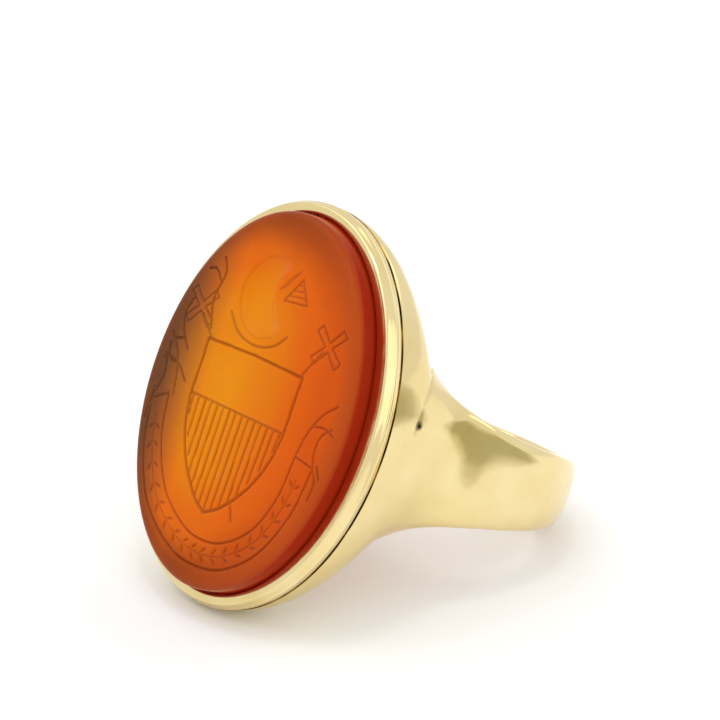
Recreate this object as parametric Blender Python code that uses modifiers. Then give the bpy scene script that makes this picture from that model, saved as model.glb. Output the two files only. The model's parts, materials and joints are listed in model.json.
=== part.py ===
"""A gold signet ring with an oval seal stone, lying on its side.

The ring is drawn in its own frame and then laid down. In that frame the finger hole's centre is the
origin, X runs across the finger, Y runs along the finger and the long way of the stone, and Z points
out of the stone's flat table. The empty "resting_pose" turns and lifts it until the bezel's edge and
the back of the shank both touch the ground, with the ground at Z = 0.
"""

from math import cos, pi, radians, sin

import bmesh
import bpy
from mathutils import Matrix, Vector

MM = 0.001

# finger hole and shank
FINGER_RADIUS = 8.25 * MM
CROWN_RADIUS = 9.60 * MM
EDGE_RADIUS = 8.95 * MM
JOINT_EDGE_RADIUS = 8.50 * MM
BACK_HALF_WIDTH = 1.64 * MM
ARM_SPREAD = 1.52 * MM
ARM_FLARE = 1.47 * MM

# heights above the finger hole's centre
TABLE_HEIGHT = 12.40 * MM
RIM_HEIGHT = 11.36 * MM
BELLY_HEIGHT = 10.98 * MM
BEZEL_FOOT_HEIGHT = 10.35 * MM
STONE_BASE_HEIGHT = 10.00 * MM
BEARER_TOP_HEIGHT = 9.97 * MM
BEARER_BASE_HEIGHT = 9.40 * MM

# half-lengths along the finger, and half-widths across it
STONE_BASE = (10.13 * MM, 7.70 * MM)
STONE_TABLE_SHARE = 0.983
STONE_EDGE_ROUND = 0.32 * MM
BEZEL_FOOT = (10.72 * MM, 8.66 * MM)
BEZEL_BELLY = (10.77 * MM, 8.84 * MM)
BEARER_OUTER = (9.60 * MM, 7.35 * MM)
BEARER_INNER = (8.70 * MM, 6.50 * MM)
WINDOW = (7.70 * MM, 5.20 * MM)

# the head's flank below the bezel, seen from the side: half-length against height
FLANK_CURVE = (
    (10.74 * MM, 10.32 * MM),
    (10.74 * MM, 8.25 * MM),
    (7.10 * MM, 7.60 * MM),
    (3.70 * MM, 5.75 * MM),
)
FLANK_TOP_HALF_WIDTH = 8.64 * MM
FLANK_FOOT_HALF_WIDTH = 8.35 * MM
FLANK_TOP_POWER = 2.0
FLANK_FOOT_POWER = 2.5

# where the hoop's pieces meet, as angles round the finger from the stone's axis
HEAD_JOINT = radians(44.5)
SHANK_JOINT = radians(115)
ARM_BLEND_END = radians(70.5)

SEAM = 0.03 * MM
SEAT_CLEARANCE = 0.04 * MM
SHANK_DOME_POWER = 2.6

OVAL_POINTS = 96
FINGER_SIDES = 144
FLANK_LEVELS = 16
ARM_STEPS = 18
BACK_STEPS = 28
DOME_POINTS = 21

GOLD = (0.93, 0.74, 0.38)
POLISH = 0.14


def mix(low, high, share):
    """The value a share of the way from low to high."""
    return low + (high - low) * share


def smooth_share(start, end, value):
    """0 before start, 1 after end, and an even S between them."""
    share = min(max((value - start) / (end - start), 0.0), 1.0)
    return share * share * (3.0 - 2.0 * share)


def bezier(points, share):
    """A point on the cubic curve through four control points of two numbers each."""
    left = 1.0 - share
    weights = (left**3, 3 * left**2 * share, 3 * left * share**2, share**3)
    return tuple(sum(w * p[axis] for w, p in zip(weights, points)) for axis in (0, 1))


# ---------------------------------------------------------------- scene and materials


def empty_scene():
    for old in list(bpy.data.objects):
        bpy.data.objects.remove(old, do_unlink=True)


def new_collection(name):
    made = bpy.data.collections.new(name)
    bpy.context.scene.collection.children.link(made)
    return made


def finish(name, colour, metallic, roughness):
    """A Principled material for one piece."""
    made = bpy.data.materials.new(name)
    made.use_nodes = True
    shader = made.node_tree.nodes["Principled BSDF"]
    shader.inputs["Base Color"].default_value = (*colour, 1.0)
    shader.inputs["Metallic"].default_value = metallic
    shader.inputs["Roughness"].default_value = roughness
    return made


def add_piece(name, mesh, material):
    """Puts a mesh among the ring's pieces, under the empty that lays the ring down."""
    piece = bpy.data.objects.new(name, mesh)
    mesh.materials.append(material)
    pieces.objects.link(piece)
    piece.parent = resting_pose
    mesh.shade_smooth()
    mesh.set_sharp_from_angle(angle=radians(35))
    return piece


def add_cutter(name, mesh):
    cutter = bpy.data.objects.new(name, mesh)
    cutters.objects.link(cutter)
    cutter.parent = resting_pose
    cutter.hide_render = True
    cutter.display_type = "WIRE"
    return cutter


def cut(piece, cutter):
    modifier = piece.modifiers.new(cutter.name, "BOOLEAN")
    modifier.operation = "DIFFERENCE"
    modifier.solver = "EXACT"
    modifier.object = cutter


# ---------------------------------------------------------------- shapes


def loft(name, rings, closed):
    """Skins a row of point rings. A closed row joins its last ring to its first, an open one is capped."""
    bm = bmesh.new()
    rows = [[bm.verts.new(point) for point in ring] for ring in rings]
    pairs = list(zip(rows, rows[1:]))
    if closed:
        pairs.append((rows[-1], rows[0]))
    else:
        bm.faces.new(rows[0])
        bm.faces.new(rows[-1])
    count = len(rows[0])
    for one, other in pairs:
        for i in range(count):
            after = (i + 1) % count
            bm.faces.new((one[i], one[after], other[after], other[i]))
    bmesh.ops.recalc_face_normals(bm, faces=bm.faces)
    mesh = bpy.data.meshes.new(name)
    bm.to_mesh(mesh)
    bm.free()
    return mesh


def oval(half_length, half_width, height, power=2.0):
    """A ring of points on an oval. Powers above 2 make it squarer."""
    points = []
    for i in range(OVAL_POINTS):
        turn = 2 * pi * i / OVAL_POINTS
        across, along = cos(turn), sin(turn)
        reach = (abs(across) ** power + abs(along) ** power) ** (-1.0 / power)
        points.append(Vector((half_width * across * reach, half_length * along * reach, height)))
    return points


def oval_prism(name, half_sizes, low, high, top_share=1.0):
    """An upright oval block, narrower at the top by top_share."""
    half_length, half_width = half_sizes
    bm = bmesh.new()
    bmesh.ops.create_cone(
        bm, cap_ends=True, segments=OVAL_POINTS, radius1=1.0, radius2=top_share, depth=high - low
    )
    bmesh.ops.scale(bm, vec=(half_width, half_length, 1.0), verts=bm.verts)
    bmesh.ops.translate(bm, vec=(0.0, 0.0, (low + high) / 2), verts=bm.verts)
    mesh = bpy.data.meshes.new(name)
    bm.to_mesh(mesh)
    bm.free()
    return mesh


def grown(half_sizes, by):
    """Half-sizes of an oval with the same amount added all round."""
    return tuple(size + by for size in half_sizes)


# ---------------------------------------------------------------- the head's flank


def flank_share(height):
    """How far along the flank's side curve a height lies, by halving."""
    low, high = 0.0, 1.0
    for _ in range(40):
        middle = (low + high) / 2
        if bezier(FLANK_CURVE, middle)[1] > height:
            low = middle
        else:
            high = middle
    return (low + high) / 2


def flank_level(share):
    """Half-length, half-width, height and squareness of the head at one level of its flank."""
    half_length, height = bezier(FLANK_CURVE, share)
    drop = (FLANK_CURVE[0][1] - height) / (FLANK_CURVE[0][1] - FLANK_CURVE[-1][1])
    half_width = mix(FLANK_TOP_HALF_WIDTH, FLANK_FOOT_HALF_WIDTH, drop)
    return half_length, half_width, height, mix(FLANK_TOP_POWER, FLANK_FOOT_POWER, drop)


def joint_crown():
    """Distance of the flank from the finger's axis at the head joint, on the ring's middle plane."""
    low, high = FINGER_RADIUS, 1.5 * CROWN_RADIUS
    for _ in range(40):
        middle = (low + high) / 2
        half_width = flank_level(flank_share(middle * cos(HEAD_JOINT)))[1]
        if middle * sin(HEAD_JOINT) < half_width:
            low = middle
        else:
            high = middle
    return (low + high) / 2


# ---------------------------------------------------------------- the hoop's sections


def half_width_at(angle):
    """Half the hoop's width: slim at the back, spreading into the arms, flared at the head."""
    nearness = (pi - angle) / (pi - HEAD_JOINT)
    return BACK_HALF_WIDTH + ARM_SPREAD * nearness**2 + ARM_FLARE * nearness**12


def dome_places():
    """Places across the hoop's outside from -1 to 1, closer together at its edges."""
    return [sin(mix(-pi / 2, pi / 2, i / (DOME_POINTS - 1))) for i in range(DOME_POINTS)]


def shank_dome(place):
    """Height of the shank's rounded outside between its edge, 0, and its crown, 1."""
    return max(1.0 - abs(place) ** SHANK_DOME_POWER, 0.0) ** (1.0 / SHANK_DOME_POWER)


def hoop_section(angle):
    """One section of the hoop: its rounded outside, then back along the finger hole."""
    width = half_width_at(angle)
    to_shank = smooth_share(HEAD_JOINT, ARM_BLEND_END, angle)
    upright = head_half_width / sin(min(angle, pi / 2))
    crown = mix(upright, CROWN_RADIUS, to_shank)
    edge = mix(JOINT_EDGE_RADIUS, EDGE_RADIUS, to_shank)
    outline = []
    for place in dome_places():
        outline.append((place * width, mix(edge, crown, shank_dome(place))))
    outline.append((width, FINGER_RADIUS))
    outline.append((-width, FINGER_RADIUS))
    return [Vector((r * sin(angle), along, r * cos(angle))) for along, r in outline]


def hoop_piece(name, start, end, steps):
    rings = [hoop_section(mix(start, end, i / steps)) for i in range(steps + 1)]
    return add_piece(name, loft(name, rings, closed=False), finish(name, GOLD, 1.0, POLISH))


# ---------------------------------------------------------------- the pieces


def build_shoulders():
    """The two tapering arms. The left one is the right one mirrored across the finger."""
    gap = SEAM / CROWN_RADIUS
    right = hoop_piece("shoulder_right", HEAD_JOINT + gap, SHANK_JOINT - gap / 2, ARM_STEPS)
    mesh = right.data.copy()
    mesh.transform(Matrix.Scale(-1.0, 4, Vector((1.0, 0.0, 0.0))))
    mesh.flip_normals()
    mesh.materials.clear()
    add_piece("shoulder_left", mesh, finish("shoulder_left", GOLD, 1.0, POLISH))


def build_shank_back():
    """The narrow back of the hoop, from joint to joint round the far side."""
    gap = SEAM / CROWN_RADIUS / 2
    start, end = SHANK_JOINT + gap, 2 * pi - SHANK_JOINT - gap
    rings = []
    for i in range(BACK_STEPS + 1):
        angle = mix(start, end, i / BACK_STEPS)
        ring = hoop_section(min(angle, 2 * pi - angle))
        side = 1.0 if angle <= pi else -1.0
        rings.append([Vector((side * point.x, point.y, point.z)) for point in ring])
    mesh = loft("shank_back", rings, closed=False)
    add_piece("shank_back", mesh, finish("shank_back", GOLD, 1.0, POLISH))


def build_head():
    """The oval cup: saddle-cut to the finger below, stepped for the bearer and the stone above."""
    levels = [flank_level(i / FLANK_LEVELS) for i in range(FLANK_LEVELS + 1)]
    mesh = loft("head_collet", [oval(*level) for level in levels], closed=False)
    head = add_piece("head_collet", mesh, finish("head_collet", GOLD, 1.0, POLISH))

    bm = bmesh.new()
    bmesh.ops.create_cone(
        bm,
        cap_ends=True,
        segments=FINGER_SIDES,
        radius1=FINGER_RADIUS,
        radius2=FINGER_RADIUS,
        depth=3 * BEZEL_FOOT[0],
    )
    finger_mesh = bpy.data.meshes.new("finger")
    bm.to_mesh(finger_mesh)
    bm.free()
    finger = add_cutter("finger", finger_mesh)
    finger.rotation_euler = (pi / 2, 0.0, 0.0)
    cut(head, finger)

    above = RIM_HEIGHT
    stone_recess = grown(STONE_BASE, SEAT_CLEARANCE)
    bearer_recess = grown(BEARER_OUTER, SEAT_CLEARANCE)
    cut(head, add_cutter("stone_recess", oval_prism("stone_recess", stone_recess, STONE_BASE_HEIGHT, above)))
    bearer_floor = BEARER_BASE_HEIGHT - SEAM
    cut(head, add_cutter("bearer_recess", oval_prism("bearer_recess", bearer_recess, bearer_floor, above)))
    cut(head, add_cutter("window", oval_prism("window", WINDOW, 0.0, above)))

    size = 3 * CROWN_RADIUS
    for side in (1, -1):
        bm = bmesh.new()
        bmesh.ops.create_cube(bm, size=size)
        bmesh.ops.translate(bm, vec=(0.0, 0.0, -size / 2), verts=bm.verts)
        block_mesh = bpy.data.meshes.new("below_joint")
        bm.to_mesh(block_mesh)
        bm.free()
        block = add_cutter("below_joint_right" if side > 0 else "below_joint_left", block_mesh)
        block.rotation_euler = (0.0, side * (HEAD_JOINT - pi / 2), 0.0)
        cut(head, block)


def build_bezel():
    """The rim: a strip standing on the head, with its upper edge rubbed in over the stone."""
    foot_length, foot_width = BEZEL_FOOT
    belly_length, belly_width = BEZEL_BELLY
    stone_length, stone_width = grown(STONE_BASE, SEAT_CLEARANCE)
    lip = -0.07 * MM
    profile = (
        (foot_length - 0.08 * MM, foot_width - 0.08 * MM, BEZEL_FOOT_HEIGHT),
        (foot_length, foot_width, BEZEL_FOOT_HEIGHT + 0.08 * MM),
        (mix(foot_length, belly_length, 0.7), mix(foot_width, belly_width, 0.7), BELLY_HEIGHT - 0.26 * MM),
        (belly_length, belly_width, BELLY_HEIGHT - 0.06 * MM),
        (belly_length - 0.06 * MM, belly_width - 0.10 * MM, BELLY_HEIGHT + 0.06 * MM),
        (belly_length - 0.19 * MM, belly_width - 0.30 * MM, RIM_HEIGHT - 0.03 * MM),
        (belly_length - 0.34 * MM, belly_width - 0.52 * MM, RIM_HEIGHT),
        (stone_length + 0.10 * MM, stone_width + 0.12 * MM, RIM_HEIGHT - 0.02 * MM),
        (stone_length + lip, stone_width + lip, RIM_HEIGHT - 0.09 * MM),
        (stone_length, stone_width, BEZEL_FOOT_HEIGHT),
    )
    rings = [oval(*point) for point in profile]
    add_piece("bezel", loft("bezel", rings, closed=True), finish("bezel", GOLD, 1.0, POLISH))


def build_bearer():
    """The ledge under the stone: a flat oval ring let into the head."""
    sides = (
        (BEARER_OUTER, BEARER_BASE_HEIGHT),
        (BEARER_OUTER, BEARER_TOP_HEIGHT),
        (BEARER_INNER, BEARER_TOP_HEIGHT),
        (BEARER_INNER, BEARER_BASE_HEIGHT),
    )
    rings = [oval(*half_sizes, height) for half_sizes, height in sides]
    add_piece("bearer", loft("bearer", rings, closed=True), finish("bearer", GOLD, 1.0, 0.3))


def build_stone():
    """The seal stone: a steep-sided oval tablet with softened edges and a flat table."""
    base = STONE_BASE_HEIGHT + SEAM
    mesh = oval_prism("stone", STONE_BASE, base, TABLE_HEIGHT, STONE_TABLE_SHARE)
    stone = add_piece("stone", mesh, finish("stone", (0.62, 0.17, 0.02), 0.0, 0.08))
    rounding = stone.modifiers.new("edge", "BEVEL")
    rounding.width = STONE_EDGE_ROUND
    rounding.segments = 4
    rounding.limit_method = "ANGLE"
    rounding.angle_limit = radians(40)


# ---------------------------------------------------------------- laying the ring down


def lay_down():
    """Tilts the ring until its front and its back are equally low, then sets it on the ground."""
    depsgraph = bpy.context.evaluated_depsgraph_get()
    points = []
    for piece in resting_pose.children:
        if not piece.hide_render:
            points += [vertex.co.copy() for vertex in piece.evaluated_get(depsgraph).data.vertices]
    front = [point for point in points if point.z > 0]
    back = [point for point in points if point.z <= 0]

    def lowest(group, tilt):
        return min(point.y * cos(tilt) + point.z * sin(tilt) for point in group)

    low, high = 0.0, pi / 4
    for _ in range(30):
        tilt = (low + high) / 2
        if lowest(front, tilt) < lowest(back, tilt):
            low = tilt
        else:
            high = tilt
    depths = [point.y * sin(tilt) - point.z * cos(tilt) for point in points]
    resting_pose.rotation_euler = (pi / 2 - tilt, 0.0, 0.0)
    resting_pose.location = (0.0, -(min(depths) + max(depths)) / 2, -lowest(points, tilt))
    bpy.context.view_layer.update()


empty_scene()
pieces = new_collection("signet_ring")
cutters = new_collection("cutters")
resting_pose = bpy.data.objects.new("resting_pose", None)
pieces.objects.link(resting_pose)
head_half_width = joint_crown() * sin(HEAD_JOINT)
build_head()
build_shoulders()
build_shank_back()
build_bezel()
build_bearer()
build_stone()
lay_down()
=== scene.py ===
"""Looks for the signet ring: finer meshes for its pieces, the seal's engraving, gold and carnelian.

The meshes are made in the ring's own frame, in millimetres: x across the finger, y along the finger
and the long way of the stone, z out of the stone's table, with the finger hole's centre at the origin.
"""

import json
import math

import bmesh
import bpy
import numpy as np
from mathutils import Matrix, Vector


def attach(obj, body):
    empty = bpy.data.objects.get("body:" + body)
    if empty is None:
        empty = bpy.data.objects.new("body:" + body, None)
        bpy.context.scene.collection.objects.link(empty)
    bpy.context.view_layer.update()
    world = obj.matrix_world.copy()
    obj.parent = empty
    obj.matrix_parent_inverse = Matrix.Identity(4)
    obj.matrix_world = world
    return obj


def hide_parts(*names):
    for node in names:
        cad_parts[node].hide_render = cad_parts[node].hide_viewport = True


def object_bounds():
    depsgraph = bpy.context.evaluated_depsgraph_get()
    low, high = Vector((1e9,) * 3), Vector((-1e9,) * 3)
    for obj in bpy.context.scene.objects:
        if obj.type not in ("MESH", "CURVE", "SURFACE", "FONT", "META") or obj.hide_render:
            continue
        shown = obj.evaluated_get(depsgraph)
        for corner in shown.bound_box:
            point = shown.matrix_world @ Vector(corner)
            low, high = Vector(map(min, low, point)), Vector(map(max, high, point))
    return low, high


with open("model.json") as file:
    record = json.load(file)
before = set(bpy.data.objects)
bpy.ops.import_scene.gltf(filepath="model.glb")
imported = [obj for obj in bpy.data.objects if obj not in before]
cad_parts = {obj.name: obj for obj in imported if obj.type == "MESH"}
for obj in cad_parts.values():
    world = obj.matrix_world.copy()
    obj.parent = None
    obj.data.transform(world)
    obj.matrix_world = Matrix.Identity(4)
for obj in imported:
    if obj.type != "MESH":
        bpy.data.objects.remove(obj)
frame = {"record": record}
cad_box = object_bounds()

MM = 0.001

# ---------------------------------------------------------------- the ring's measures, as in the solids

FINGER_RADIUS = 8.25
CROWN_RADIUS = 9.60
EDGE_RADIUS = 8.95
JOINT_EDGE_RADIUS = 8.50
BACK_HALF_WIDTH = 1.64
ARM_SPREAD = 1.52
ARM_FLARE = 1.47
SHANK_DOME_POWER = 2.6

# heights above the finger hole's centre
TABLE_HEIGHT = 12.40
RIM_HEIGHT = 11.36
BELLY_HEIGHT = 10.98
BEZEL_FOOT_HEIGHT = 10.35
STONE_BASE_HEIGHT = 10.03
BEARER_BASE_HEIGHT = 9.40

# half-lengths along the finger, and half-widths across it
STONE_BASE = (10.13, 7.70)
STONE_TABLE_SHARE = 0.983
BEZEL_FOOT = (10.72, 8.66)
BEZEL_BELLY = (10.765, 8.835)
BEARER_OUTER = (9.60, 7.35)
BEARER_INNER = (8.70, 6.50)
WINDOW = (7.70, 5.20)

FLANK_CURVE = ((10.74, 10.32), (10.74, 8.25), (7.10, 7.60), (3.70, 5.75))
FLANK_HALF_WIDTHS = (8.64, 8.35)
FLANK_POWERS = (2.0, 2.5)

HEAD_JOINT = math.radians(44.5)
ARM_BLEND_END = math.radians(70.5)
SHANK_JOINT = math.radians(115)

SEAM = 0.03
SEAT_CLEARANCE = 0.04


def axes_matrix(x_axis, y_axis, z_axis, place):
    """The placement whose axes point along three unit vectors."""
    matrix = Matrix((x_axis, y_axis, z_axis)).transposed().to_4x4()
    matrix.translation = place
    return matrix


mounts = {mount["name"]: mount for mount in frame["record"]["mounts"]}
centre = Vector(mounts["finger_bore"]["pos_m"])
along_axis = Vector(mounts["finger_bore"]["axis"]).normalized()
out_axis = Vector(mounts["seal_face"]["axis"]).normalized()
across_axis = along_axis.cross(out_axis).normalized()
RING = axes_matrix(across_axis, along_axis, out_axis, centre)


def mix(low, high, share):
    """The value a share of the way from low to high."""
    return low + (high - low) * share


def smooth_share(start, end, value):
    """0 before start, 1 after end, and an even S between them."""
    share = np.clip((value - start) / (end - start), 0.0, 1.0)
    return share * share * (3.0 - 2.0 * share)


def grown(half_sizes, by):
    """Half-sizes of an oval with the same amount added all round."""
    return tuple(size + by for size in half_sizes)


# ---------------------------------------------------------------- meshes

PIECE_SHARP_ANGLE = 35
STONE_SHARP_ANGLE = 60
WELD_DISTANCE = 1e-7
RIM_COLUMNS = 480
BEARER_COLUMNS = 240


def make_object(name, points, faces):
    """A mesh object laid down with the ring, from points in millimetres of the ring's frame."""
    mesh = bpy.data.meshes.new(name)
    laid = np.asarray(points) @ np.array(RING.to_3x3()).T * MM + np.array(centre)
    mesh.from_pydata(laid.tolist(), [], faces)
    mesh.validate()
    mesh.update()
    made = bpy.data.objects.new(name, mesh)
    bpy.context.scene.collection.objects.link(made)
    return made


def shade(mesh, sharp_angle):
    """Shades a mesh smooth, apart from the edges that turn by more than an angle in degrees."""
    mesh.shade_smooth()
    mesh.set_sharp_from_angle(angle=math.radians(sharp_angle))


def skin(name, rows, looped):
    """A closed skin over rows of points, looped from the last row to the first or else capped."""
    rows = np.asarray(rows)
    count, width = rows.shape[:2]
    faces = []
    for i in range(count if looped else count - 1):
        after = (i + 1) % count
        for j in range(width):
            beside = (j + 1) % width
            faces.append((i * width + j, i * width + beside, after * width + beside, after * width + j))
    if not looped:
        faces.append(tuple(reversed(range(width))))
        faces.append(tuple((count - 1) * width + j for j in range(width)))
    made = make_object(name, rows.reshape(-1, 3), faces)
    bm = bmesh.new()
    bm.from_mesh(made.data)
    bmesh.ops.remove_doubles(bm, verts=bm.verts, dist=WELD_DISTANCE)
    bmesh.ops.dissolve_degenerate(bm, dist=WELD_DISTANCE, edges=bm.edges)
    bmesh.ops.recalc_face_normals(bm, faces=bm.faces)
    bm.to_mesh(made.data)
    bm.free()
    shade(made.data, PIECE_SHARP_ANGLE)
    return made


def smooth_curve(points, steps):
    """Points on a Catmull-Rom curve through the given ones."""
    points = np.asarray(points, float)
    padded = np.vstack([2 * points[0] - points[1], points, 2 * points[-1] - points[-2]])
    made = []
    for i in range(len(points) - 1):
        a, b, c, d = padded[i : i + 4]
        for step in range(steps):
            t = step / steps
            pull = (2 * a - 5 * b + 4 * c - d) * t * t
            swing = (3 * b - a - 3 * c + d) * t**3
            made.append(0.5 * (2 * b + (c - a) * t + pull + swing))
    made.append(points[-1])
    return np.array(made)


def turns_round(count):
    """Angles of evenly spaced columns round an oval."""
    return 2 * math.pi * np.arange(count) / count


def oval(half_length, half_width, height, power, turns):
    """A row of points on an oval. Powers above 2 make it squarer."""
    across, along = np.cos(turns), np.sin(turns)
    reach = (np.abs(across) ** power + np.abs(along) ** power) ** (-1.0 / power)
    heights = np.full_like(turns, height)
    return np.stack([half_width * across * reach, half_length * along * reach, heights], -1)


# ---------------------------------------------------------------- head

HEAD_COLUMNS = 480
FLANK_SAMPLES = 401
FLANK_ROWS = 64
FOOT_ROWS = 3
SADDLE_ROWS = 12
WINDOW_ROWS = 8


def bezier(share):
    """Half-length and height of the flank at a share of the way down its side curve."""
    share = np.asarray(share, float)[..., None]
    left = 1.0 - share
    p = np.array(FLANK_CURVE)
    return left**3 * p[0] + 3 * left**2 * share * p[1] + 3 * left * share**2 * p[2] + share**3 * p[3]


def flank_rows(shares, turns):
    """Points of the head's flank: one row for each share down its side curve."""
    rows = []
    for share in shares:
        half_length, height = bezier(share)
        drop = (FLANK_CURVE[0][1] - height) / (FLANK_CURVE[0][1] - FLANK_CURVE[-1][1])
        half_width = mix(*FLANK_HALF_WIDTHS, drop)
        rows.append(oval(half_length, half_width, height, mix(*FLANK_POWERS, drop), turns))
    return np.array(rows)


def flank_points(shares, turns):
    """One point of the flank for each pair of a share and a turn."""
    return np.array([flank_rows([share], turns[j : j + 1])[0, 0] for j, share in enumerate(shares)])


def inside_share(points):
    """Above 0 where a point has passed the head's joint plane or the finger hole's surface."""
    past_joint = np.abs(points[..., 0]) - points[..., 2] * math.tan(HEAD_JOINT)
    past_finger = FINGER_RADIUS - np.hypot(points[..., 0], points[..., 2])
    return np.maximum(past_joint, past_finger)


def flank_ends(turns):
    """How far down its side curve each column of the flank runs before it meets the joint or the hole."""
    shares = np.linspace(0.0, 1.0, FLANK_SAMPLES)
    past = inside_share(flank_rows(shares, turns)) > 0
    ends = np.where(past.any(axis=0), np.argmax(past, axis=0), FLANK_SAMPLES - 1)
    low, high = shares[np.maximum(ends - 1, 0)], shares[ends]
    for _ in range(16):
        middle = (low + high) / 2
        outside = inside_share(flank_points(middle, turns)) <= 0
        low = np.where(outside, middle, low)
        high = np.where(outside, high, middle)
    return low


def build_head():
    """The oval cup: down its flank, in along the saddle and the window, and up past the stepped seats."""
    turns = turns_round(HEAD_COLUMNS)
    ends = flank_ends(turns)
    rows = [flank_points(ends * (i / FLANK_ROWS), turns) for i in range(FLANK_ROWS + 1)]

    edge = rows[-1]
    radius = np.hypot(edge[:, 0], edge[:, 2])
    angle = np.arctan2(edge[:, 0], edge[:, 2])
    for i in range(1, FOOT_ROWS + 1):
        r = mix(radius, FINGER_RADIUS, i / FOOT_ROWS)
        rows.append(np.stack([r * np.sin(angle), edge[:, 1], r * np.cos(angle)], -1))

    foot = rows[-1]
    window = oval(*WINDOW, 0.0, 2.0, turns)
    for i in range(1, SADDLE_ROWS + 1):
        place = mix(foot[:, :2], window[:, :2], i / SADDLE_ROWS)
        rows.append(np.column_stack([place, np.sqrt(FINGER_RADIUS**2 - place[:, 0] ** 2)]))

    lip = rows[-1]
    for i in range(1, WINDOW_ROWS + 1):
        heights = mix(lip[:, 2], BEARER_BASE_HEIGHT - SEAM, i / WINDOW_ROWS)
        rows.append(np.column_stack([lip[:, :2], heights]))

    bearer_seat = grown(BEARER_OUTER, SEAT_CLEARANCE)
    stone_seat = grown(STONE_BASE, SEAT_CLEARANCE)
    for half_sizes, height in (
        (bearer_seat, BEARER_BASE_HEIGHT - SEAM),
        (bearer_seat, STONE_BASE_HEIGHT - SEAM),
        (stone_seat, STONE_BASE_HEIGHT - SEAM),
        (stone_seat, FLANK_CURVE[0][1]),
    ):
        rows.append(oval(*half_sizes, height, 2.0, turns))
    return skin("ring_head", rows, looped=True)


# ---------------------------------------------------------------- hoop

ARM_ROWS = 121
BACK_ROWS = 131
DOME_POINTS = 57
BORE_STEPS = 8
HOOP_CORNER = 0.13
CORNER_MIDDLE = 0.29 * HOOP_CORNER

# each arm runs on under the head's flank, where it sinks and narrows
BURIED = math.radians(6.5)
SUNK_CROWN_DROP = 1.6
SUNK_EDGE_RISE = 0.12
SUNK_NARROWING = 0.9


def joint_half_width():
    """The flank's half-width where the joint plane meets its side."""
    low, high = 0.0, 1.0
    side = np.array([0.0])
    for _ in range(40):
        middle = (low + high) / 2
        point = flank_rows([middle], side)[0, 0]
        if point[0] < point[2] * math.tan(HEAD_JOINT):
            low = middle
        else:
            high = middle
    return flank_rows([low], side)[0, 0][0]


UPRIGHT = joint_half_width()


def hoop_section(angle):
    """A section of the hoop round the finger. Before the head joint it sinks into the head's flank."""
    nearness = (math.pi - max(angle, HEAD_JOINT)) / (math.pi - HEAD_JOINT)
    width = BACK_HALF_WIDTH + ARM_SPREAD * nearness**2 + ARM_FLARE * nearness**12
    to_shank = smooth_share(HEAD_JOINT, ARM_BLEND_END, angle)
    crown = mix(UPRIGHT / math.sin(min(angle, math.pi / 2)), CROWN_RADIUS, to_shank)
    edge = mix(JOINT_EDGE_RADIUS, EDGE_RADIUS, to_shank)
    sunk = max(HEAD_JOINT - angle, 0.0) / BURIED
    crown -= SUNK_CROWN_DROP * sunk
    edge = mix(edge, FINGER_RADIUS + SUNK_EDGE_RISE, sunk)
    width -= SUNK_NARROWING * sunk**1.5

    places = np.sin(np.linspace(-math.pi / 2, math.pi / 2, DOME_POINTS))
    rises = np.maximum(1.0 - np.abs(places) ** SHANK_DOME_POWER, 0.0) ** (1.0 / SHANK_DOME_POWER)
    outline = [(place * width, mix(edge, crown, rise)) for place, rise in zip(places, rises)]
    corner = [
        (width, mix(edge, FINGER_RADIUS + HOOP_CORNER, 0.5)),
        (width, FINGER_RADIUS + HOOP_CORNER),
        (width - CORNER_MIDDLE, FINGER_RADIUS + CORNER_MIDDLE),
        (width - HOOP_CORNER, FINGER_RADIUS),
    ]
    outline += corner
    flat = width - HOOP_CORNER
    outline += [(flat - 2 * flat * i / BORE_STEPS, FINGER_RADIUS) for i in range(1, BORE_STEPS)]
    outline += [(-along, r) for along, r in reversed(corner)]
    along, radius = np.array(outline).T
    return np.column_stack([radius * math.sin(angle), along, radius * math.cos(angle)])


def build_shoulder(name, side):
    """One tapering arm, on the right for side 1 and on the left for side -1."""
    angles = np.linspace(HEAD_JOINT - BURIED, SHANK_JOINT, ARM_ROWS)
    rows = np.array([hoop_section(angle) for angle in angles])
    rows[..., 0] *= side
    return skin(name, rows, looped=False)


def build_shank():
    """The narrow back of the hoop, from joint to joint round the far side."""
    rows = []
    for angle in np.linspace(SHANK_JOINT, 2 * math.pi - SHANK_JOINT, BACK_ROWS):
        row = hoop_section(min(angle, 2 * math.pi - angle))
        if angle > math.pi:
            row[:, 0] *= -1
        rows.append(row)
    return skin("ring_shank", rows, looped=False)


# ---------------------------------------------------------------- bezel and bearer

PROFILE_STEPS = 5
BEARER_CHAMFER = 0.06


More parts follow.
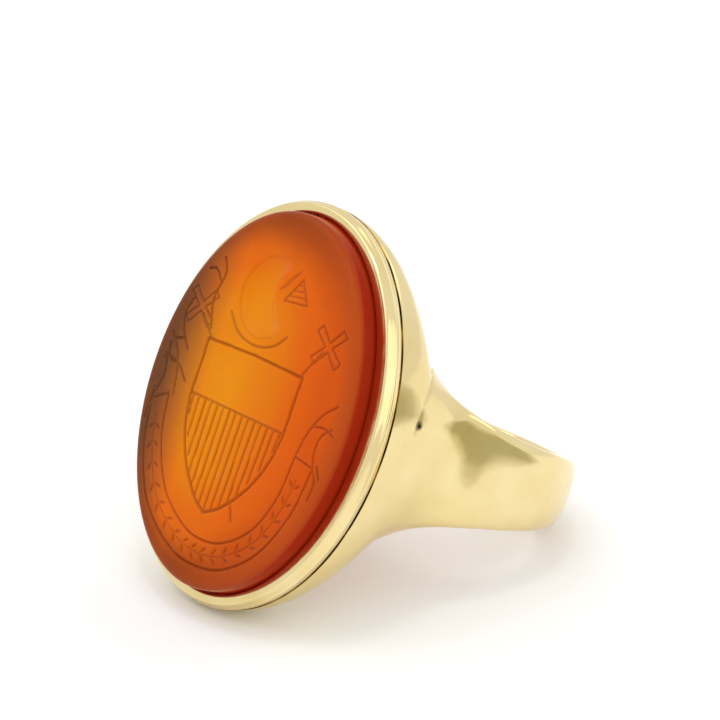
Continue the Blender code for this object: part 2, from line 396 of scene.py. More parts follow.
def build_bezel():
    """The rim: a strip standing on the head, with its upper edge rubbed in over the stone."""
    belly_length, belly_width = BEZEL_BELLY
    neck = tuple(mix(foot, belly, 0.7) for foot, belly in zip(BEZEL_FOOT, BEZEL_BELLY))
    bore = grown(STONE_BASE, SEAT_CLEARANCE)
    outer = (
        (*grown(BEZEL_FOOT, -0.22), BEZEL_FOOT_HEIGHT - 0.03),
        (*grown(BEZEL_FOOT, -0.09), BEZEL_FOOT_HEIGHT + 0.01),
        (*grown(BEZEL_FOOT, -0.01), BEZEL_FOOT_HEIGHT + 0.10),
        (*neck, BELLY_HEIGHT - 0.26),
        (belly_length, belly_width, BELLY_HEIGHT - 0.06),
        (belly_length - 0.06, belly_width - 0.10, BELLY_HEIGHT + 0.06),
        (belly_length - 0.19, belly_width - 0.30, RIM_HEIGHT - 0.03),
        (belly_length - 0.34, belly_width - 0.52, RIM_HEIGHT),
        (*grown(bore, 0.06), RIM_HEIGHT - 0.01),
        (*grown(bore, -0.05), RIM_HEIGHT - 0.05),
        (*grown(bore, -0.11), RIM_HEIGHT - 0.13),
    )
    profile = [*smooth_curve(outer, PROFILE_STEPS), (*grown(bore, 0.005), BEZEL_FOOT_HEIGHT - 0.03)]
    turns = turns_round(RIM_COLUMNS)
    return skin("ring_bezel", [oval(*point, 2.0, turns) for point in profile], looped=True)


def build_bearer():
    """The ledge under the stone: a flat oval ring with its inner edges softened."""
    base, top = BEARER_BASE_HEIGHT, STONE_BASE_HEIGHT - 2 * SEAM
    softened = grown(BEARER_INNER, BEARER_CHAMFER)
    profile = (
        (*BEARER_OUTER, base),
        (*BEARER_OUTER, top),
        (*softened, top),
        (*BEARER_INNER, top - BEARER_CHAMFER),
        (*BEARER_INNER, base + BEARER_CHAMFER),
        (*softened, base),
    )
    turns = turns_round(BEARER_COLUMNS)
    return skin("stone_bearer", [oval(*point, 2.0, turns) for point in profile], looped=True)


# ---------------------------------------------------------------- the seal's engraving

# the picture stands a little to one side of the table's middle
PICTURE_SHIFT = 0.45

SHIELD_MIDDLE = -0.55
SHIELD_TOP = 2.20
SHIELD_HALF_WIDTH = 3.75
SHIELD_FESS = -0.75
SHIELD_TIP = -6.15
# down the shield's side: a share of its half-width, and a place along the table
SHIELD_SIDE = (
    (1.0, SHIELD_TOP), (0.985, 0.8), (0.99, SHIELD_FESS), (0.90, -2.4), (0.66, -4.1), (0.30, -5.5),
)
SHIELD_STRIPES = 15
STRIPED_SHARE = 0.93

# the crest: a smooth sunk crescent, the lines round it, and a ruled pennon. Ovals are middle and sizes
BOWL_DEPTH = 0.40
CRESCENT = ((-1.05, 5.35), (2.05, 2.25))
CRESCENT_BITE = ((0.75, 5.75), (1.55, 1.60))
CRESCENT_RIM = ((-0.55, 7.5), (-1.9, 7.2), (-2.9, 6.0), (-2.95, 4.7), (-2.2, 3.6), (-1.0, 3.15), (0.1, 3.45))
CREST_STEM = ((-3.3, 3.9), (-2.3, 3.05), (-0.9, 2.75), (0.4, 3.05), (1.2, 3.75))
PENNON = ((1.05, 6.75), (0.15, 5.45), (1.85, 5.60))
PENNON_RULES = 4
PENNON_RAYS = (((0.45, 6.9), (-0.35, 5.9)), ((0.75, 7.1), (-0.05, 6.1)))

# an outlined cross on a stalk to the shield's right, and its match on the left: side and middle
CROSSES = ((1, 4.25, 4.10), (-1, -5.55, 3.60))
CROSS_TURNS = (math.radians(-38), math.radians(47))
CROSS_ARM = (0.22, 1.22)
CROSS_HALF_WIDTH = 0.17
CROSS_SPREAD = 1.35

# the ribbon: two long curves round the shield's foot, with folded ends
RIBBON_INNER = (
    (-5.9, -1.3), (-5.35, -3.6), (-3.9, -5.85), (-1.9, -7.1), (-0.2, -7.45),
    (1.6, -7.05), (3.3, -5.7), (4.2, -3.7), (4.45, -1.5),
)
RIBBON_OUTER = (
    (-7.0, -1.9), (-6.5, -4.3), (-4.9, -6.9), (-2.4, -8.45), (-0.2, -8.8),
    (2.0, -8.35), (4.1, -6.75), (5.4, -4.3), (5.85, -1.7),
)
RIBBON_FOLDS = (
    ((4.45, -1.5), (4.75, -0.2), (5.35, 0.9), (6.15, 1.6)),
    ((5.85, -1.7), (5.60, -0.9), (5.70, -0.1), (6.25, 0.45)),
    ((5.05, 0.25), (5.75, 0.35), (6.45, 0.15)),
    ((5.85, -1.7), (6.25, -2.3), (6.20, -3.2)),
    ((6.10, -1.5), (6.50, -2.2), (6.45, -3.0)),
)
FOLD_REACH = -7.1
FLOURISHES = (
    ((-4.4, 2.7), (-4.9, 4.2), (-4.6, 5.6), (-5.0, 6.4)),
    ((-5.6, 1.2), (-6.3, 2.0), (-6.6, 3.0), (-6.3, 4.0)),
    ((-5.0, -0.4), (-5.9, 0.3), (-6.7, 0.4), (-7.0, 1.2)),
    ((-4.8, 5.2), (-5.4, 5.7), (-5.9, 5.6)),
    ((-6.0, 1.7), (-6.8, 1.5)),
)
RIBBON_TAIL = ((1.1, -5.0), (1.6, -5.9))

LEAF_SIZES = (0.30, 0.10)
LEAF_ALONG, LEAF_ASIDE = 0.22, 0.24
LEAF_LEAN = 0.75
LEAF_DEPTH = 0.10


def line_distance(x, y, path):
    """Distance of each grid point from a path of straight stretches."""
    nearest = np.full(x.shape, 1e9)
    for (ax, ay), (bx, by) in zip(path, path[1:]):
        dx, dy = bx - ax, by - ay
        along = np.clip(((x - ax) * dx + (y - ay) * dy) / (dx * dx + dy * dy + 1e-12), 0.0, 1.0)
        nearest = np.minimum(nearest, np.hypot(x - ax - along * dx, y - ay - along * dy))
    return nearest


def curve(points, steps=8):
    """A smooth path through the given points."""
    return [tuple(point) for point in smooth_curve(points, steps)]


def oval_reach(x, y, middle, sizes):
    """How far each grid point is from an oval's middle, counted in its half-sizes."""
    return np.hypot((x - middle[0]) / sizes[0], (y - middle[1]) / sizes[1])


def shield_side(side):
    """The shield's side from its top corner to its tip."""
    points = [(SHIELD_MIDDLE + side * SHIELD_HALF_WIDTH * share, y) for share, y in SHIELD_SIDE]
    return curve(points + [(SHIELD_MIDDLE, SHIELD_TIP)], 6)


class Engraving:
    """Depths of the cut lines, in millimetres, at the points of a grid on the stone's table."""

    def __init__(self, x, y):
        self.x, self.y = x, y
        self.depths = np.zeros_like(x)

    def groove(self, path, width, depth):
        """Cuts a round-bottomed line."""
        spread = np.clip(1.0 - (line_distance(self.x, self.y, path) / (width / 2)) ** 2, 0.0, 1.0)
        np.maximum(self.depths, depth * np.sqrt(spread), out=self.depths)

    def hollow(self, middle, sizes, turn, depth):
        """Sinks a smooth oval bowl."""
        c, s = math.cos(turn), math.sin(turn)
        x, y = self.x - middle[0], self.y - middle[1]
        u = (x * c + y * s) / sizes[0]
        v = (-x * s + y * c) / sizes[1]
        np.maximum(self.depths, depth * np.clip(1.0 - u * u - v * v, 0.0, 1.0), out=self.depths)

    def shield(self):
        """The shield's outline, its upper band's edge, and the stripes below it."""
        left, right = shield_side(-1), shield_side(1)
        self.groove(left, 0.20, 0.13)
        self.groove(right, 0.20, 0.13)
        self.groove([left[0], (SHIELD_MIDDLE, SHIELD_TOP + 0.10), right[0]], 0.18, 0.13)
        band = [(SHIELD_MIDDLE + reach, SHIELD_FESS) for reach in (-3.55, 3.55)]
        self.groove(band, 0.16, 0.10)
        for i in range(SHIELD_STRIPES):
            share = -STRIPED_SHARE + 2 * STRIPED_SHARE * i / (SHIELD_STRIPES - 1)
            reach = abs(share) * SHIELD_HALF_WIDTH + SHIELD_MIDDLE
            low = SHIELD_TIP + 0.15
            for px, py in right:
                if px < reach:
                    break
                low = py
            place = SHIELD_MIDDLE + share * SHIELD_HALF_WIDTH
            self.groove([(place, SHIELD_FESS), (place - 0.10 * share, low + 0.05)], 0.17, 0.11)

    def crest(self):
        """The lines over the shield: the crescent's rim, a curved stem and a ruled pennon."""
        self.groove(curve(CRESCENT_RIM), 0.11, 0.05)
        self.groove(curve(CREST_STEM), 0.16, 0.10)
        tip, inner, outer = PENNON
        self.groove([tip, inner, outer, tip], 0.13, 0.09)
        for i in range(1, PENNON_RULES):
            share = i / PENNON_RULES
            start = (mix(tip[0], inner[0], share) + 0.10, mix(tip[1], inner[1], share))
            end = (mix(tip[0], outer[0], share) - 0.10, mix(tip[1], outer[1], share))
            self.groove([start, end], 0.11, 0.07)
        for ray in PENNON_RAYS:
            self.groove(ray, 0.12, 0.07)

    def cross(self, side, cx, cy):
        """An outlined cross of four flared arms, and its stalk from the shield's corner."""
        near, far = CROSS_ARM
        half = CROSS_HALF_WIDTH
        for turn in CROSS_TURNS:
            dx, dy = math.cos(turn), math.sin(turn)
            nx, ny = -dy, dx
            for arm in (-1, 1):
                outline = [
                    (cx + arm * dx * near + nx * half, cy + arm * dy * near + ny * half),
                    (
                        cx + arm * dx * far + nx * half * CROSS_SPREAD,
                        cy + arm * dy * far + ny * half * CROSS_SPREAD,
                    ),
                    (
                        cx + arm * dx * far - nx * half * CROSS_SPREAD,
                        cy + arm * dy * far - ny * half * CROSS_SPREAD,
                    ),
                    (cx + arm * dx * near - nx * half, cy + arm * dy * near - ny * half),
                ]
                self.groove(outline, 0.12, 0.10)
        corner = (SHIELD_MIDDLE + side * 3.6, SHIELD_TOP + 0.1)
        self.groove([corner, (cx - side * 0.3, cy - 0.35)], 0.14, 0.10)

    def ribbon(self):
        """The ribbon's edges, a leafy stem along its middle, and its folds and flourishes."""
        inner, outer = curve(RIBBON_INNER, 10), curve(RIBBON_OUTER, 10)
        for edge in (inner, outer):
            self.groove(edge, 0.15, 0.11)
        for end in (0, -1):
            self.groove([inner[end], outer[end]], 0.14, 0.10)
        stem = [((a[0] + b[0]) / 2, (a[1] + b[1]) / 2) for a, b in zip(inner, outer)]
        self.groove(stem[4:-4], 0.10, 0.06)
        for i in range(6, len(stem) - 6, 4):
            (ax, ay), (bx, by) = stem[i], stem[i + 2]
            length = math.hypot(bx - ax, by - ay)
            dx, dy = (bx - ax) / length, (by - ay) / length
            for side in (1, -1):
                middle = (
                    ax + LEAF_ALONG * dx - side * LEAF_ASIDE * dy,
                    ay + LEAF_ALONG * dy + side * LEAF_ASIDE * dx,
                )
                self.hollow(middle, LEAF_SIZES, math.atan2(dy, dx) + side * LEAF_LEAN, LEAF_DEPTH)
        for fold in RIBBON_FOLDS:
            self.groove(curve(fold), 0.14, 0.10)
            mirrored = [(max(2 * SHIELD_MIDDLE - px, FOLD_REACH), py + 0.2) for px, py in fold]
            self.groove(curve(mirrored), 0.14, 0.10)
        for flourish in FLOURISHES:
            self.groove(curve(flourish), 0.17, 0.12)
        self.groove(RIBBON_TAIL, 0.16, 0.11)


def engraved_lines(x, y):
    """Depths of every cut line at each point of the table."""
    seal = Engraving(x, y)
    seal.shield()
    seal.crest()
    for cross in CROSSES:
        seal.cross(*cross)
    seal.ribbon()
    return seal.depths


def crescent_bowl(x, y):
    """Depth of the crest's smooth crescent at each point of the table."""
    inside = np.clip(1.0 - oval_reach(x, y, *CRESCENT) ** 2, 0.0, 1.0)
    return BOWL_DEPTH * (inside * smooth_share(0.85, 1.25, oval_reach(x, y, *CRESCENT_BITE)))


# ---------------------------------------------------------------- stone

TABLE_GRID = (245, 321)
EDGE_ROUND_IN = 0.42
EDGE_ROUND_DOWN = 0.36
EDGE_RINGS = 9
SIDE_RINGS = 3
BASE_CHAMFER = 0.08
BASE_SHARES = (0.8, 0.5, 0.2, 0.02)


def stone_rings(table):
    """Half-length, half-width and height of each ring, from the table's border to under the base."""
    rings = []
    for i in range(1, EDGE_RINGS + 1):
        a = math.pi / 2 * i / EDGE_RINGS
        height = TABLE_HEIGHT - EDGE_ROUND_DOWN * (1 - math.cos(a))
        rings.append((*grown(table, EDGE_ROUND_IN * math.sin(a)), height))
    top, foot = TABLE_HEIGHT - EDGE_ROUND_DOWN, STONE_BASE_HEIGHT + BASE_CHAMFER
    for i in range(1, SIDE_RINGS + 1):
        share = i / SIDE_RINGS
        half_sizes = (mix(size * STONE_TABLE_SHARE, size, share) for size in STONE_BASE)
        rings.append((*half_sizes, mix(top, foot, share)))
    rings.append((*grown(STONE_BASE, -BASE_CHAMFER), STONE_BASE_HEIGHT))
    for share in BASE_SHARES:
        rings.append((STONE_BASE[0] * share, STONE_BASE[1] * share, STONE_BASE_HEIGHT))
    return rings


def build_stone():
    """The seal stone: an engraved grid for its table, and rings for its edge, side and base."""
    table = tuple(size * STONE_TABLE_SHARE - EDGE_ROUND_IN for size in STONE_BASE)
    across_count, along_count = TABLE_GRID
    u, v = np.meshgrid(np.linspace(-1, 1, across_count), np.linspace(-1, 1, along_count))
    disc_x = u * np.sqrt(1 - v * v / 2)
    disc_y = v * np.sqrt(1 - u * u / 2)
    x, y = table[1] * disc_x, table[0] * disc_y
    lines = engraved_lines(x - PICTURE_SHIFT, y)
    bowl = crescent_bowl(x - PICTURE_SHIFT, y)
    lines *= 1.0 - smooth_share(0.985, 1.0, np.hypot(disc_x, disc_y))
    points = np.stack([x, y, TABLE_HEIGHT - np.maximum(lines, bowl)], -1).reshape(-1, 3)

    index = np.arange(across_count * along_count).reshape(along_count, across_count)
    quads = np.stack([index[:-1, :-1], index[:-1, 1:], index[1:, 1:], index[1:, :-1]], -1).reshape(-1, 4)
    faces = [tuple(quad) for quad in quads.tolist()]
    border = np.concatenate([index[0, :-1], index[:-1, -1], index[-1, :0:-1], index[:0:-1, 0]])
    turns = np.arctan2(disc_y.reshape(-1)[border], disc_x.reshape(-1)[border])
    count = len(border)
    blocks = [points]
    before, start = border, len(points)
    for half_length, half_width, height in stone_rings(table):
        heights = np.full(count, height)
        blocks.append(np.column_stack([half_width * np.cos(turns), half_length * np.sin(turns), heights]))
        now = start + np.arange(count)
        for j in range(count):
            k = (j + 1) % count
            faces.append((int(before[j]), int(now[j]), int(now[k]), int(before[k])))
        before, start = now, start + count
    faces.append(tuple(int(i) for i in before[::-1]))

    made = make_object("seal_stone", np.vstack(blocks), faces)
    shade(made.data, STONE_SHARP_ANGLE)
    shown = np.zeros(len(made.data.vertices), np.float32)
    for label, values in (("engraved", lines), ("hollowed", bowl / BOWL_DEPTH)):
        shown[: len(points)] = values.reshape(-1)
        made.data.attributes.new(label, "FLOAT", "POINT").data.foreach_set("value", shown)
    return made


# ---------------------------------------------------------------- materials


class Nodes:
    """Short ways of making and joining shader nodes in one material."""

    def __init__(self, name):
        self.material = bpy.data.materials.new(name)
        self.material.use_nodes = True
        self.tree = self.material.node_tree
        self.shader = self.tree.nodes["Principled BSDF"]

    def add(self, kind, **settings):
        """A new node with some of its properties set."""
        node = self.tree.nodes.new(kind)
        for key, value in settings.items():
            setattr(node, key, value)
        return node

    def join(self, source, target):
        self.tree.links.new(source, target)

    def set(self, name, value):
        """Sets or feeds one of the shader's sockets."""
        if isinstance(value, bpy.types.NodeSocket):
            self.join(value, self.shader.inputs[name])
        else:
            self.shader.inputs[name].default_value = value

    def math(self, operation, a, b=0.0, clamp=False):
        """One step of arithmetic on two values, each a number or a socket."""
        node = self.add("ShaderNodeMath", operation=operation, use_clamp=clamp)
        for socket, value in zip(node.inputs, (a, b)):
            if isinstance(value, (int, float)):
                socket.default_value = value
            else:
                self.join(value, socket)
        return node.outputs[0]

    def millimetres(self):
        """Where a point is in the ring's frame, in millimetres."""
        source = self.add("ShaderNodeTexCoord")
        turn = self.add("ShaderNodeMapping", vector_type="TEXTURE")
        turn.inputs["Location"].default_value = centre
        turn.inputs["Rotation"].default_value = RING.to_euler()
        turn.inputs["Scale"].default_value = (MM, MM, MM)
        self.join(source.outputs["Object"], turn.inputs["Vector"])
        return turn.outputs["Vector"]

    def split(self, where):
        """The three numbers of a place."""
        axes = self.add("ShaderNodeSeparateXYZ")
        self.join(where, axes.inputs["Vector"])
        return axes.outputs

    def noise(self, where, scale, detail, stretch=None):
        """Cloudy noise, with features about 1 / scale millimetres wide."""
        if stretch is not None:
            mapping = self.add("ShaderNodeMapping")
            mapping.inputs["Scale"].default_value = stretch
            self.join(where, mapping.inputs["Vector"])
            where = mapping.outputs["Vector"]
        node = self.add("ShaderNodeTexNoise")
        node.inputs["Scale"].default_value = scale
        node.inputs["Detail"].default_value = detail
        self.join(where, node.inputs["Vector"])
        return node.outputs["Fac"]

    def ramp(self, value, stops, interpolation="LINEAR"):
        """A colour ramp. Stops are (place, colour) pairs."""
        node = self.add("ShaderNodeValToRGB")
        node.color_ramp.interpolation = interpolation
        elements = node.color_ramp.elements
        while len(elements) < len(stops):
            elements.new(0.5)
        for element, (place, colour) in zip(elements, stops):
            element.position = place
            element.color = (*colour, 1.0)
        self.join(value, node.inputs["Fac"])
        return node.outputs["Color"]

    def fade(self, value, start, end, first=0.0, last=1.0):
        """A grey that runs from first to last as the value runs from start to end."""
        return self.ramp(value, [(start, (first, first, first)), (end, (last, last, last))])

    def blend(self, share, a, b):
        """The mix of two colours, each a colour or a socket."""
        node = self.add("ShaderNodeMix", data_type="RGBA")
        sockets = [s for s in node.inputs if s.type == "RGBA"]
        factor = [s for s in node.inputs if s.type == "VALUE"][0]
        self.join(share, factor)
        for socket, value in zip(sockets, (a, b)):
            if isinstance(value, tuple):
                socket.default_value = (*value, 1.0)
            else:
                self.join(value, socket)
        return [s for s in node.outputs if s.type == "RGBA"][0]

    def bump(self, height, strength, distance):
        """A bumped normal. The distance is in metres."""
        node = self.add("ShaderNodeBump")
        node.inputs["Strength"].default_value = strength
        node.inputs["Distance"].default_value = distance
        self.join(height, node.inputs["Height"])
        return node.outputs["Normal"]


GOLD_DEEP = (0.79, 0.63, 0.285)
GOLD_PALE = (0.86, 0.71, 0.380)
# colour of the painted shade in the seam under the rim
SEAM_SHADE = (0.20, 0.170, 0.075)
# colour of the painted shade in the pit
PIT_SHADE = (0.03, 0.025, 0.015)

# painted shade lies in the seam under the rim, and in one pit left in the right arm's solder joint
SEAM_HEIGHT = 10.35
PIT = (8.42, 1.87, 8.38)


def gold_material():
    """Worn yellow gold, with painted shade in the seam under the rim and in one pit."""
    n = Nodes("yellow_gold")
    where = n.millimetres()
    colour = n.ramp(n.noise(where, 0.35, 3.0), [(0.30, GOLD_DEEP), (0.70, GOLD_PALE)])
    # painted shade along the seam under the rim, patchy
    off_seam = n.math("ABSOLUTE", n.math("SUBTRACT", n.split(where)[2], SEAM_HEIGHT))
    seam = n.fade(n.math("MULTIPLY", off_seam, 5.0), 0.16, 0.36, 1.0, 0.0)
    patchy = n.fade(n.noise(where, 0.5, 2.0), 0.40, 0.60, 0.15, 0.85)
    colour = n.blend(n.math("MULTIPLY", seam, patchy), colour, SEAM_SHADE)
    # painted shade in the pit, which is not cut in the mesh
    gap = n.add("ShaderNodeVectorMath", operation="DISTANCE")
    n.join(where, gap.inputs[0])
    gap.inputs[1].default_value = PIT
    reach = n.math("ADD", gap.outputs["Value"], n.math("MULTIPLY", n.noise(where, 4.0, 3.0), 0.25))
    colour = n.blend(n.fade(reach, 0.22, 0.42, 1.0, 0.0), colour, PIT_SHADE)
    n.set("Base Color", colour)
    n.set("Metallic", 1.0)
    wear = n.noise(where, 1.3, 5.0)
    scratch = n.noise(where, 9.0, 2.0, stretch=(0.25, 2.6, 0.25))
    rough = n.math("ADD", n.math("MULTIPLY", wear, 0.10), n.math("MULTIPLY", scratch, 0.05))
    n.set("Roughness", n.math("ADD", rough, 0.035))
    height = n.math("ADD", n.noise(where, 0.55, 2.0), n.math("MULTIPLY", scratch, 0.02))
    n.set("Normal", n.bump(height, 0.35, 0.05 * MM))
    return n.material


# the stone's orange with a painted glow of light through its open back, from its heart to its edge
STONE_BODY_AND_GLOW = [
    (0.00, (0.71, 0.232, 0.002)),
    (0.42, (0.69, 0.200, 0.002)),
    (0.74, (0.66, 0.125, 0.002)),
    (1.00, (0.30, 0.045, 0.003)),
]
# deeper red on the right, where the painted glow falls off
STONE_RIGHT_FALLOFF = (0.62, 0.085, 0.002)
# painted reflection: a grey-brown sheen on the left
STONE_LEFT_SHEEN = (0.090, 0.045, 0.018)
# painted reflection: a grey-brown sheen round the table's edge
STONE_RIM_SHEEN = (0.20, 0.045, 0.012)
STONE_SIDE = (0.33, 0.016, 0.002)
# painted shade on the stone's side inside the bezel
STONE_SEAT_SHADE = (0.03, 0.003, 0.001)
# painted glow, brighter where the crescent's hollow thins the stone
STONE_THIN_GLOW = (0.76, 0.27, 0.006)
# painted shade in the engraved lines
STONE_CUT_SHADE = (0.20, 0.030, 0.002)
STONE_EDGE = (7.35, 9.75)
SEAT_HEIGHT = 10.9


def stone_material():
    """Carnelian orange, with painted light in it: a glow from the open back in the middle and the crescent,
    grey reflections on the left and round the table's edge, and shade inside the bezel and in the cut lines.
    It is dark red down its side.
    """
    n = Nodes("carnelian")
    where = n.millimetres()
    x, y, z = n.split(where)

    def oval_distance(cx, cy, rx, ry):
        """How far a point is from a middle, counted in the oval's half-sizes."""
        u = n.math("DIVIDE", n.math("SUBTRACT", x, cx), rx)
        v = n.math("DIVIDE", n.math("SUBTRACT", y, cy), ry)
        return n.math("SQRT", n.math("ADD", n.math("MULTIPLY", u, u), n.math("MULTIPLY", v, v)))

    def tint(colour, share, weight, other):
        """A colour with some of another over it: the product of a share and a weight."""
        return n.blend(n.math("MULTIPLY", share, weight), colour, other)

    # painted glow of light through the open back: brightest a little left of the middle, fading to the edge
    drift = n.math("SUBTRACT", n.noise(where, 0.22, 3.0), 0.5)
    glow = n.math("ADD", oval_distance(-1.2, 0.3, 7.6, 9.6), n.math("MULTIPLY", drift, 0.25))
    colour = n.ramp(glow, STONE_BODY_AND_GLOW, "EASE")
    # deeper red towards the right, where the painted glow falls off
    right = n.math("MULTIPLY", n.math("ADD", x, 1.0), 0.145, clamp=True)
    colour = tint(colour, right, 0.85, STONE_RIGHT_FALLOFF)
    # painted reflection: a grey-brown sheen over the left of the stone
    left = n.math("MULTIPLY", n.math("SUBTRACT", -3.0, x), 0.29, clamp=True)
    colour = tint(colour, left, 0.93, STONE_LEFT_SHEEN)
    # painted reflection: a grey-brown sheen round the table's edge
    edge = oval_distance(0.0, 0.0, *STONE_EDGE)
    colour = tint(colour, n.fade(edge, 0.86, 1.0), 0.42, STONE_RIM_SHEEN)
    off_table = n.fade(edge, 0.985, 1.0)
    side = n.fade(n.math("SUBTRACT", TABLE_HEIGHT, z), 0.10, 0.42)
    colour = tint(colour, side, off_table, STONE_SIDE)
    # painted shade: the stone's side below the rim, inside the bezel, is made nearly black
    seat_shade = n.fade(n.math("SUBTRACT", z, SEAT_HEIGHT), 0.10, 0.28, 1.0, 0.0)
    colour = tint(colour, seat_shade, off_table, STONE_SEAT_SHADE)
    # painted glow: brighter in the crescent's hollow, where the stone is thinner
    hollowed = n.add("ShaderNodeAttribute", attribute_name="hollowed")
    colour = tint(colour, hollowed.outputs["Fac"], 0.45, STONE_THIN_GLOW)
    engraved = n.add("ShaderNodeAttribute", attribute_name="engraved")
    cut = n.math("MULTIPLY", engraved.outputs["Fac"], 6.0, clamp=True)
    # painted shade: the engraved lines darkened by their depth
    n.set("Base Color", tint(colour, cut, 0.55, STONE_CUT_SHADE))
    n.set("IOR", 1.54)
    n.set("Specular IOR Level", 0.06)
    polish = n.math("MULTIPLY", n.noise(where, 2.0, 4.0), 0.06)
    rough = n.math("ADD", n.math("ADD", polish, 0.03), n.math("MULTIPLY", cut, 0.22))
    n.set("Roughness", rough)
    n.set("Subsurface Weight", 0.35)
    n.set("Subsurface Radius", (1.0, 0.35, 0.05))
    n.set("Subsurface Scale", 1.5 * MM)
    tooling = n.math("MULTIPLY", n.noise(where, 7.0, 2.0), cut)
    n.set("Normal", n.bump(tooling, 0.30, 0.03 * MM))
    return n.material


# ---------------------------------------------------------------- building it

PIECES = (
    (build_head(), "head_collet", "gold"),
    (build_bezel(), "bezel", "gold"),
    (build_bearer(), "bearer", "gold"),
    (build_shoulder("ring_shoulder_right", 1), "shoulder_right", "gold"),
    (build_shoulder("ring_shoulder_left", -1), "shoulder_left", "gold"),
    (build_shank(), "shank_back", "gold"),
    (build_stone(), "stone", "stone"),
)
materials = {"gold": gold_material(), "stone": stone_material()}
for piece, node, slot in PIECES:
    piece.data.materials.append(materials[slot])
    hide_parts(node)
    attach(piece, "root")


# ---------------------------------------------------------------- floor, light and camera

FLOOR_HALF_SIZE = 0.60
FLOOR_DROP = 0.02 * MM
FLOOR_WHITE = (0.95, 0.95, 0.95)
STAGE_SPECULAR = 0.2

# each column of the card is its lower and upper point, in millimetres from the ground under the ring
CARD_COLUMNS = (
    ((36, -8, 3.5), (36, -8, 14.0)),
    ((36, 0, 2.8), (36, 0, 19.0)),
    ((36, 9, 2.4), (36, 9, 24.0)),
    ((33.5, 18, 0.6), (33.5, 18, 23.0)),
    ((30, 23, 0.2), (30, 23, 12.0)),
    ((26, 28, 0.2), (26, 28, 5.0)),
)
# places up each column, and how dark the card is there
CARD_RUNGS = ((0.0, 0.0), (0.22, 1.0), (0.70, 1.0), (1.0, 0.0))
CARD_PALE = (0.97, 0.96, 0.93)
CARD_OLIVE = (0.50, 0.49, 0.35)

# name, direction from the ring, distance, size and power
LIGHTS = (
    ("key", (-0.5, -0.6, 1.2), 0.35, (0.30, 0.30), 0.22),
    ("fill", (1.2, -0.3, 0.8), 0.40, (0.30, 0.30), 0.15),
    ("sparkle", (0.058, -0.052, 0.997), 0.30, (0.05, 0.05), 0.07),
    ("back", (0.2, 1.0, 0.9), 0.40, (0.40, 0.20), 0.15),
)
WORLD_STRENGTH = 0.94

VIEW_TURN = math.radians(42.3)
VIEW_RISE = math.radians(5.4)
VIEW_ROLL = math.radians(19.0)
VIEW_DISTANCE = 0.120
VIEW_LENS = 109.5
VIEW_SENSOR = 36.0
VIEW_CLIP = (0.005, 5.0)
AIM = (-2.36 * MM, 4.19 * MM)


def add_to_scene(name, data):
    made = bpy.data.objects.new(name, data)
    bpy.context.scene.collection.objects.link(made)
    return made


def add_floor():
    """A plain white sheet under the ring."""
    size = FLOOR_HALF_SIZE
    mesh = bpy.data.meshes.new("floor")
    corners = [(-size, -size, 0), (size, -size, 0), (size, size, 0), (-size, size, 0)]
    mesh.from_pydata(corners, [], [(0, 1, 2, 3)])
    floor = add_to_scene("floor", mesh)
    floor.location = (0.0, 0.0, -FLOOR_DROP)
    n = Nodes("white_paper")
    shaded_white = tuple(c * 0.99 for c in FLOOR_WHITE)
    cloud = n.noise(n.millimetres(), 0.02, 2.0)
    n.set("Base Color", n.ramp(cloud, [(0.3, shaded_white), (0.7, FLOOR_WHITE)]))
    n.set("Roughness", 0.6)
    n.set("Specular IOR Level", STAGE_SPECULAR)
    mesh.materials.append(n.material)


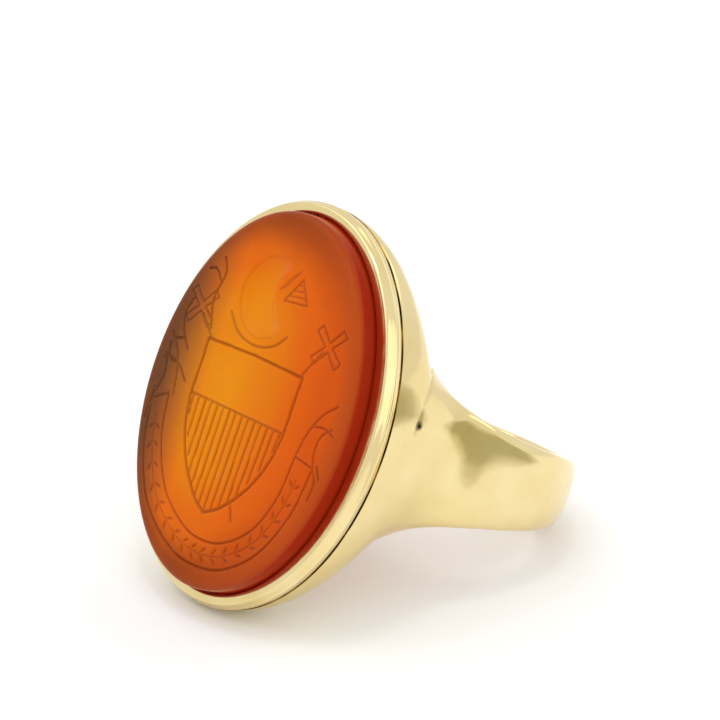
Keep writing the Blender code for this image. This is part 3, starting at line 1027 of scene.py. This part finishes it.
def add_card():
    """A dark card to the ring's right that only polished surfaces see, pale at its borders."""
    points, depths = [], []
    last = len(CARD_COLUMNS) - 1
    for i, (low, high) in enumerate(CARD_COLUMNS):
        for share, depth in CARD_RUNGS:
            points.append(tuple(mix(a, b, share) * MM for a, b in zip(low, high)))
            depths.append(depth if 0 < i < last else 0.0)
    count = len(CARD_RUNGS)
    faces = []
    for i in range(last):
        for j in range(count - 1):
            start = i * count + j
            faces.append((start, start + count, start + count + 1, start + 1))
    mesh = bpy.data.meshes.new("flag_right")
    mesh.from_pydata(points, [], faces)
    mesh.attributes.new("shade", "FLOAT", "POINT").data.foreach_set("value", depths)
    card = add_to_scene("flag_right", mesh)
    n = Nodes("flag_right")
    darkness = n.add("ShaderNodeAttribute", attribute_name="shade")
    n.set("Base Color", n.blend(darkness.outputs["Fac"], CARD_PALE, CARD_OLIVE))
    n.set("Roughness", 0.9)
    n.set("Specular IOR Level", STAGE_SPECULAR)
    mesh.materials.append(n.material)
    card.visible_camera = False
    card.visible_diffuse = False
    card.visible_shadow = False
    card.visible_transmission = False


def add_light(name, direction, distance, size, power):
    """A soft lamp aimed at the middle of the ring."""
    target = (cad_box[0] + cad_box[1]) / 2
    data = bpy.data.lights.new(name, "AREA")
    data.shape = "RECTANGLE"
    data.size, data.size_y = size
    data.energy = power
    offset = Vector(direction).normalized() * distance
    light = add_to_scene(name, data)
    light.location = target + offset
    light.rotation_euler = (-offset).to_track_quat("-Z", "Y").to_euler()


def add_camera():
    """The camera, placed from the ring's own frame: turned across the finger, then rolled."""
    turned = out_axis * math.cos(VIEW_TURN) + across_axis * math.sin(VIEW_TURN)
    toward = turned * math.cos(VIEW_RISE) + along_axis * math.sin(VIEW_RISE)
    right = across_axis * math.cos(VIEW_TURN) - out_axis * math.sin(VIEW_TURN)
    up = toward.cross(right)
    rolled_right = right * math.cos(VIEW_ROLL) + up * math.sin(VIEW_ROLL)
    rolled_up = up * math.cos(VIEW_ROLL) - right * math.sin(VIEW_ROLL)
    target = centre + rolled_right * AIM[0] + rolled_up * AIM[1]
    place = centre + toward * VIEW_DISTANCE
    back = (place - target).normalized()
    side = rolled_up.cross(back).normalized()
    data = bpy.data.cameras.new("camera")
    data.sensor_width = VIEW_SENSOR
    data.lens = VIEW_LENS
    data.clip_start, data.clip_end = VIEW_CLIP
    camera = add_to_scene("camera", data)
    camera.matrix_world = axes_matrix(side, back.cross(side), back, place)
    bpy.context.scene.camera = camera


add_camera()
add_floor()
add_card()
for light in LIGHTS:
    add_light(*light)

world = bpy.data.worlds.new("studio")
bpy.context.scene.world = world
world.use_nodes = True
background = world.node_tree.nodes["Background"]
background.inputs["Color"].default_value = (1.0, 1.0, 1.0, 1.0)
background.inputs["Strength"].default_value = WORLD_STRENGTH
bpy.context.scene.view_settings.view_transform = "Standard"
